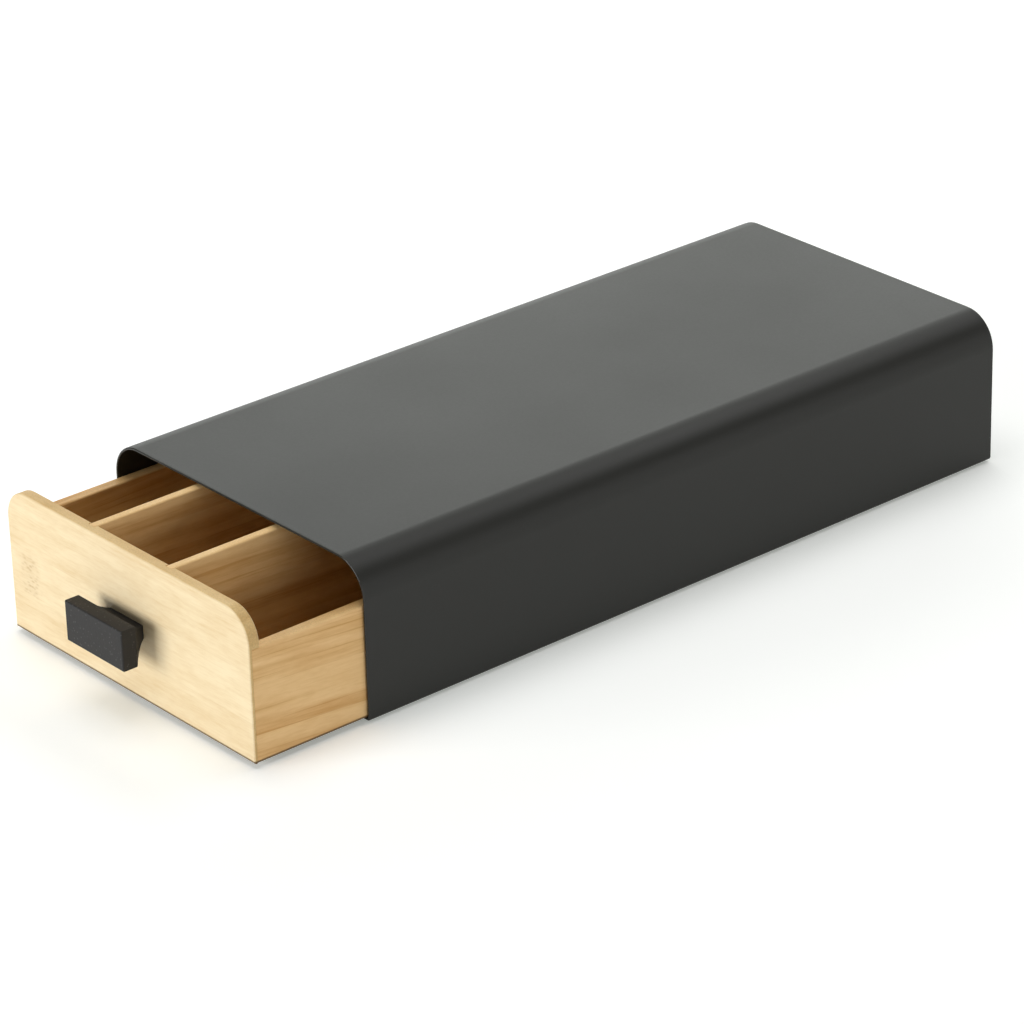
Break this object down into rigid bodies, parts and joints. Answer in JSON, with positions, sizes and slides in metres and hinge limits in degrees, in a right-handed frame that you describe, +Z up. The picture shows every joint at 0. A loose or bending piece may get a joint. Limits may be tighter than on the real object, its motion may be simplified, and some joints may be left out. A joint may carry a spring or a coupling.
{
  "type": "coffee pod drawer",
  "caption": "Coffee pod drawer: a divided bamboo drawer with a rectangular knob slides in a low, round-shouldered steel sleeve.",
  "frame": {"origin": "middle of the footprint, at the undersides of the pads, with the drawer open as at rest", "axes": "+Z up, -Y out of the open front the way the drawer pulls, +X to the right seen from the front"},
  "size_m": [0.18, 0.464, 0.076],
  "materials": {
    "powder_coat": "fine matt powder coat",
    "rubber": "matt",
    "bamboo_face": "clear satin varnish",
    "bamboo_board": "clear satin varnish",
    "bamboo_floor": "clear satin varnish",
    "knob_coat": "fine matt texture",
    "zinc_plate": "bright zinc"
  },
  "bodies": {
    "housing": {"sleeve": "powder_coat", "back_plate": "powder_coat", "pad_front_left": "rubber", "pad_front_right": "rubber", "pad_rear_left": "rubber", "pad_rear_right": "rubber", "bumper_left": "rubber", "bumper_right": "rubber"},
    "drawer": {"front_panel": "bamboo_face", "rear_wall": "bamboo_board", "left_wall": "bamboo_board", "right_wall": "bamboo_board", "left_divider": "bamboo_board", "right_divider": "bamboo_board", "drawer_floor": "bamboo_floor", "knob": "knob_coat", "knob_screw": "zinc_plate", "knob_washer": "zinc_plate"}
  },
  "joints": [
    {"name": "drawer_slide", "type": "slide", "parent": "housing", "child": "drawer", "axis": [0, -1, 0], "range_m": [-0.061, 0.224]}
  ]
}
